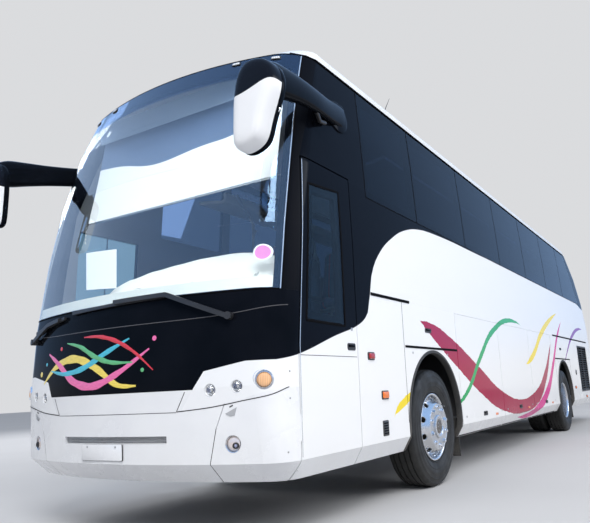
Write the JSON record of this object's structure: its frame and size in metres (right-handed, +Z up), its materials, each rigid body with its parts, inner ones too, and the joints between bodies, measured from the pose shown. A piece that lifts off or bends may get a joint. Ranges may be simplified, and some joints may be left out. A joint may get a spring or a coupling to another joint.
{
  "type": "coach bus",
  "caption": "Single-deck high-floor touring coach with hinged driver's door, luggage flaps and engine lid, steered front wheels, twin rear wheels, glazed cabin with seats.",
  "frame": {"origin": "middle of the bounding box at ground level", "axes": "+X to the coach's left, -Y to its front, +Z up"},
  "size_m": [3.2, 12.38, 3.6998],
  "materials": {
    "white_paint": "gloss white paint",
    "black_paint": "black paint",
    "dark_glass": "dark tinted glass",
    "screen_glass": "clear laminated glass",
    "lamp_black": "gloss black",
    "lamp_lens": "clear lens",
    "red_lens": "red lens",
    "grey_plastic": "satin grey",
    "black_plastic": "satin black",
    "cream_plastic": "satin cream",
    "floor_mat": "ribbed floor covering",
    "cast_metal": "cast, raw",
    "black_rubber": "rubber",
    "tyre": "tyre rubber",
    "rim_alloy": "polished",
    "seat_cloth": "woven cloth",
    "blind_cloth": "white cloth"
  },
  "bodies": {
    "body": {"air_springs": "black_rubber", "chassis_frame": "black_paint", "dashboard": "cream_plastic", "deck": "floor_mat", "drivers_platform": "floor_mat", "drivers_seat": "seat_cloth", "engine": "cast_metal", "front_axle": "black_paint", "front_bumper": "white_paint", "front_lamps": "lamp_lens", "front_mask": "black_paint", "front_quarters": "white_paint", "headlamp_pods": "lamp_black", "luggage_hold": "black_paint", "mirrors": "black_plastic", "passenger_door_glass": "dark_glass", "passenger_doors": "white_paint", "passenger_seats": "seat_cloth", "radiator_grilles": "grey_plastic", "rear_axle": "black_paint", "rear_bumper": "white_paint", "rear_quarters": "white_paint", "rear_wall": "white_paint", "rear_window": "dark_glass", "roof": "white_paint", "roof_hatch": "grey_plastic", "roof_unit": "white_paint", "side_wall_left": "white_paint", "side_wall_right": "white_paint", "side_windows": "dark_glass", "stairs": "floor_mat", "steering_wheel": "black_plastic", "sun_blind": "blind_cloth", "tail_lamps": "red_lens", "wheel_housings": "black_plastic", "windscreen": "screen_glass", "windscreen_frame": "white_paint", "wipers": "black_plastic"},
    "left_knuckle": {"knuckle_left": "cast_metal"},
    "right_knuckle": {"knuckle_right": "cast_metal"},
    "tie_rod": {"tie_rod": "black_paint"},
    "front_left_wheel": {"front_left_tyre": "tyre", "front_left_rim": "rim_alloy"},
    "front_right_wheel": {"front_right_tyre": "tyre", "front_right_rim": "rim_alloy"},
    "rear_left_wheel": {"rear_left_tyres": "tyre", "rear_left_rims": "rim_alloy"},
    "rear_right_wheel": {"rear_right_tyres": "tyre", "rear_right_rims": "rim_alloy"},
    "drivers_door": {"drivers_door": "white_paint", "drivers_door_glass": "dark_glass"},
    "engine_lid": {"engine_lid": "white_paint"},
    "flap_left_1": {"luggage_flap_left_1": "white_paint"},
    "flap_left_2": {"luggage_flap_left_2": "white_paint"},
    "flap_left_3": {"luggage_flap_left_3": "white_paint"},
    "flap_right_1": {"luggage_flap_right_1": "white_paint"},
    "flap_right_2": {"luggage_flap_right_2": "white_paint"}
  },
  "joints": [
    {"name": "left_steer", "type": "hinge", "parent": "body", "child": "left_knuckle", "pos_m": [0.87, -3.31, 0.522], "axis": [0, 0, 1], "range_deg": [-38, 38]},
    {"name": "right_steer", "type": "hinge", "parent": "body", "child": "right_knuckle", "pos_m": [-0.87, -3.31, 0.522], "axis": [0, 0, 1], "range_deg": [-38, 38]},
    {"name": "tie_rod_pivot", "type": "hinge", "parent": "left_knuckle", "child": "tie_rod", "pos_m": [0.87, -3.11, 0.449], "axis": [0, 0, 1], "range_deg": [-38, 38]},
    {"name": "front_left_spin", "type": "hinge", "parent": "left_knuckle", "child": "front_left_wheel", "pos_m": [1.1025, -3.31, 0.522], "axis": [1, 0, 0], "continuous": true},
    {"name": "front_right_spin", "type": "hinge", "parent": "right_knuckle", "child": "front_right_wheel", "pos_m": [-1.1025, -3.31, 0.522], "axis": [1, 0, 0], "continuous": true},
    {"name": "rear_left_spin", "type": "hinge", "parent": "body", "child": "rear_left_wheel", "pos_m": [0.9375, 2.74, 0.522], "axis": [1, 0, 0], "continuous": true},
    {"name": "rear_right_spin", "type": "hinge", "parent": "body", "child": "rear_right_wheel", "pos_m": [-0.9375, 2.74, 0.522], "axis": [1, 0, 0], "continuous": true},
    {"name": "drivers_door_hinge", "type": "hinge", "parent": "body", "child": "drivers_door", "pos_m": [1.272, -5.544, 1.4], "axis": [0, 0, -1], "range_deg": [0, 80]},
    {"name": "flap_left_1_hinge", "type": "hinge", "parent": "body", "child": "flap_left_1", "pos_m": [1.272, -1.90333, 1.628], "axis": [0, -1, 0], "range_deg": [0, 90]},
    {"name": "flap_left_2_hinge", "type": "hinge", "parent": "body", "child": "flap_left_2", "pos_m": [1.272, -0.39, 1.628], "axis": [0, -1, 0], "range_deg": [0, 90]},
    {"name": "flap_left_3_hinge", "type": "hinge", "parent": "body", "child": "flap_left_3", "pos_m": [1.272, 1.12333, 1.628], "axis": [0, -1, 0], "range_deg": [0, 90]},
    {"name": "flap_right_1_hinge", "type": "hinge", "parent": "body", "child": "flap_right_1", "pos_m": [-1.272, -1.86, 1.628], "axis": [0, 1, 0], "range_deg": [0, 90]},
    {"name": "flap_right_2_hinge", "type": "hinge", "parent": "body", "child": "flap_right_2", "pos_m": [-1.272, -0.26, 1.628], "axis": [0, 1, 0], "range_deg": [0, 90]},
    {"name": "engine_lid_hinge", "type": "hinge", "parent": "body", "child": "engine_lid", "pos_m": [0, 6.15383, 1.706], "axis": [1, 0, 0], "range_deg": [0, 80]}
  ],
  "couplings": [
    {"joint": "right_steer", "follows": "left_steer", "ratio": 1},
    {"joint": "tie_rod_pivot", "follows": "left_steer", "ratio": -1}
  ]
}
